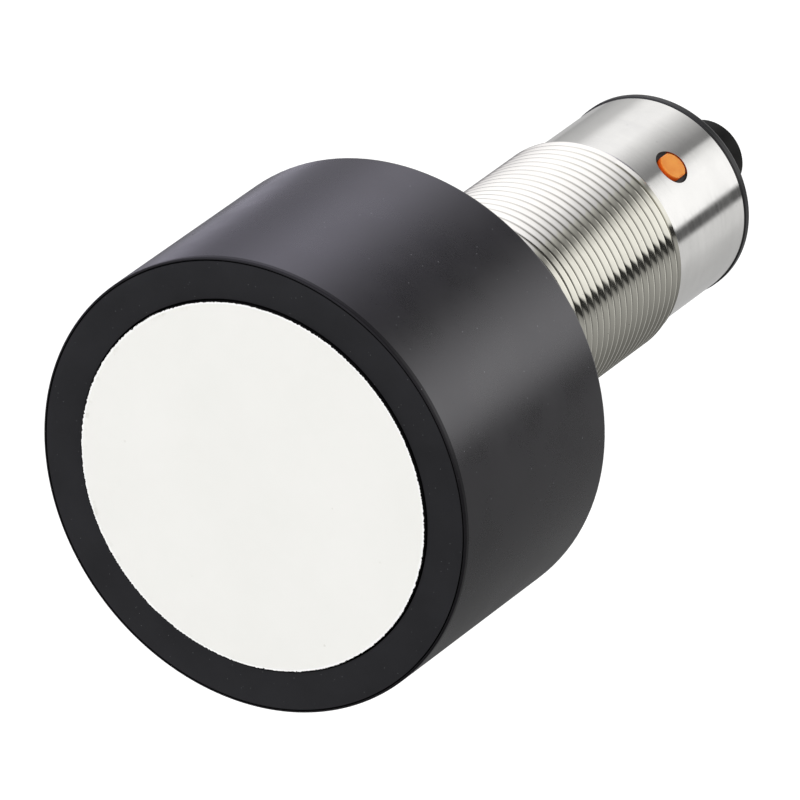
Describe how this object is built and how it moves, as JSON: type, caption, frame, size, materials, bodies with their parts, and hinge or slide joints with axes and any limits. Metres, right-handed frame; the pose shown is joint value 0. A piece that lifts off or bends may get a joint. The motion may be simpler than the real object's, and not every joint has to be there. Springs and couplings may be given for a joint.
{
  "type": "ultrasonic sensor",
  "caption": "Ultrasonic distance sensor: wide round head with a white transducer face, on a threaded metal sleeve with a teach key and a round plug at the end.",
  "frame": {"origin": "on the sensor's axis, in the plane of the head's rear shoulder, where the sleeve's thread begins", "axes": "+Y along the axis from the sensing face to the plug, +Z through the teach key, +X to the right when looking along +Y"},
  "size_m": [0.062, 0.1193, 0.062],
  "materials": {
    "head_plastic": "black moulded glass-filled plastic, finely matte",
    "ring_rubber": "charcoal elastomer, flat matte",
    "disc_resin": "white glass-bubble resin, matte, rough cut edge",
    "nickel": "nickel-plated brass, bright turned thread and satin rear stretch",
    "key_orange": "orange moulded plastic",
    "guide_grey": "dark grey moulded plastic",
    "cap_black": "black moulded plastic, slightly glossy",
    "plug_black": "black moulded plastic",
    "insert_black": "black moulded plastic",
    "gold": "gold-plated",
    "seal_rubber": "black rubber",
    "piezo": "fired ceramic with a silvered face",
    "aluminium": "turned",
    "foam": "closed-cell foam",
    "tinplate": "tin-plated sheet",
    "copper": "enamelled copper wire",
    "board_green": "glass-fibre board with green lacquer",
    "steel": "zinc-plated or spring steel",
    "film_red": "dipped film capacitor",
    "chip_black": "moulded package",
    "bead_blue": "coated bead",
    "ferrite": "ground ferrite",
    "cream_plastic": "cream moulded plastic",
    "brass": "plain brass",
    "carrier_plastic": "light moulded plastic",
    "capacitor_metal": "drawn can",
    "chip_brown": "chip parts",
    "lamp_clear": "clear lamp"
  },
  "bodies": {
    "sensor": {"head_housing": "head_plastic", "face_ring": "ring_rubber", "matching_disc": "disc_resin", "piezo_disc": "piezo", "tuning_ring": "aluminium", "damping_collar": "foam", "backing_pad": "foam", "shield_can": "tinplate", "transducer_leads": "copper", "driver_board": "board_green", "board_screws": "steel", "film_capacitor": "film_red", "power_transistor": "chip_black", "thermistor": "bead_blue", "core_front": "ferrite", "core_rear": "ferrite", "bobbin": "cream_plastic", "winding": "copper", "core_screw": "brass", "core_nut": "brass", "front_ribbon_socket": "cream_plastic", "rear_ribbon_socket": "cream_plastic", "board_ribbon": "cream_plastic", "sleeve": "nickel", "sleeve_seal": "seal_rubber", "sleeve_clip": "steel", "board_carrier": "carrier_plastic", "main_board": "board_green", "processor": "chip_black", "output_driver": "chip_black", "regulator": "chip_black", "inductor": "ferrite", "reservoir_capacitors": "capacitor_metal", "crystal": "tinplate", "small_parts": "chip_brown", "status_lamp": "lamp_clear", "switch_body": "chip_black", "switch_dome": "steel", "button_guide": "guide_grey", "button_seal": "seal_rubber", "rear_cap": "cap_black", "cap_seal": "seal_rubber", "plug_body": "plug_black", "plug_seal": "seal_rubber", "plug_insert": "insert_black", "contact_pins": "gold", "plug_board": "board_green", "plug_link": "guide_grey"},
    "teach_key": {"button_key": "key_orange", "switch_stem": "guide_grey"}
  },
  "joints": [
    {"name": "teach_key_press", "type": "slide", "parent": "sensor", "child": "teach_key", "axis": [0, 0, -1], "range_m": [0, 0.0003], "stiffness_N_per_m": 1500, "springref_m": -0.0005, "deforming": ["switch_dome"]}
  ]
}
